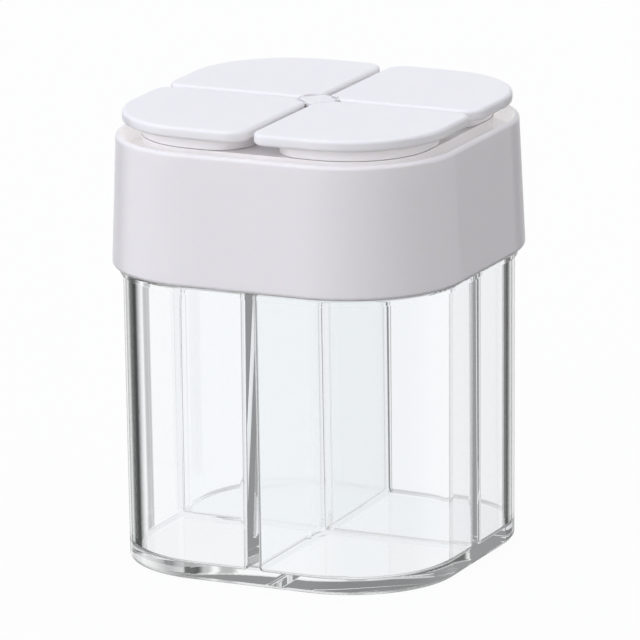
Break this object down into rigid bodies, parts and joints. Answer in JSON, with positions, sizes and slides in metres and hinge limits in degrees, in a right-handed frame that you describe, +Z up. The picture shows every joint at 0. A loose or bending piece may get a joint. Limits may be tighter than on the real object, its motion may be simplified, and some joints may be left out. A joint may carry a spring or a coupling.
{
  "type": "spice shaker",
  "caption": "Square spice shaker: a clear jar parted into compartments under a pull-off white cap, whose sunken deck has shaker holes closed by flip lids hinged at the middle.",
  "frame": {"origin": "middle of the jar's flat base", "axes": "+Z up along the jar, +X to the right along the front face, +Y to the back"},
  "size_m": [0.08, 0.08, 0.0996],
  "materials": {
    "clear_plastic": "polished, see-through",
    "white_plastic": "satin",
    "lid_plastic": "satin",
    "silicone": "matte, milky"
  },
  "bodies": {
    "jar": {"jar": "clear_plastic"},
    "cap": {"cap": "white_plastic", "deck": "white_plastic", "socket": "white_plastic", "gasket": "silicone", "hub": "lid_plastic", "collar_back_right": "white_plastic", "collar_back_left": "white_plastic", "collar_front_left": "white_plastic", "collar_front_right": "white_plastic", "rib_back_right": "white_plastic", "rib_back_left": "white_plastic", "rib_front_left": "white_plastic", "rib_front_right": "white_plastic", "hinge_back_right": "lid_plastic", "hinge_back_left": "lid_plastic", "hinge_front_left": "lid_plastic", "hinge_front_right": "lid_plastic"},
    "lid_back_right": {"lid_back_right": "lid_plastic"},
    "lid_back_left": {"lid_back_left": "lid_plastic"},
    "lid_front_left": {"lid_front_left": "lid_plastic"},
    "lid_front_right": {"lid_front_right": "lid_plastic"}
  },
  "joints": [
    {"name": "cap_lift", "type": "slide", "parent": "jar", "child": "cap", "axis": [0, 0, 1], "range_m": [0, 0.03]},
    {"name": "lid_back_right_hinge", "type": "hinge", "parent": "cap", "child": "lid_back_right", "pos_m": [0.00269, 0.00269, 0.09913], "axis": [0.7071, -0.7071, 0], "range_deg": [0, 90], "deforming": ["hinge_back_right"]},
    {"name": "lid_back_left_hinge", "type": "hinge", "parent": "cap", "child": "lid_back_left", "pos_m": [-0.00269, 0.00269, 0.09913], "axis": [-0.7071, -0.7071, 0], "range_deg": [-90, 0], "deforming": ["hinge_back_left"]},
    {"name": "lid_front_left_hinge", "type": "hinge", "parent": "cap", "child": "lid_front_left", "pos_m": [-0.00269, -0.00269, 0.09913], "axis": [-0.7071, 0.7071, 0], "range_deg": [0, 90], "deforming": ["hinge_front_left"]},
    {"name": "lid_front_right_hinge", "type": "hinge", "parent": "cap", "child": "lid_front_right", "pos_m": [0.00269, -0.00269, 0.09913], "axis": [0.7071, 0.7071, 0], "range_deg": [-90, 0], "deforming": ["hinge_front_right"]}
  ]
}
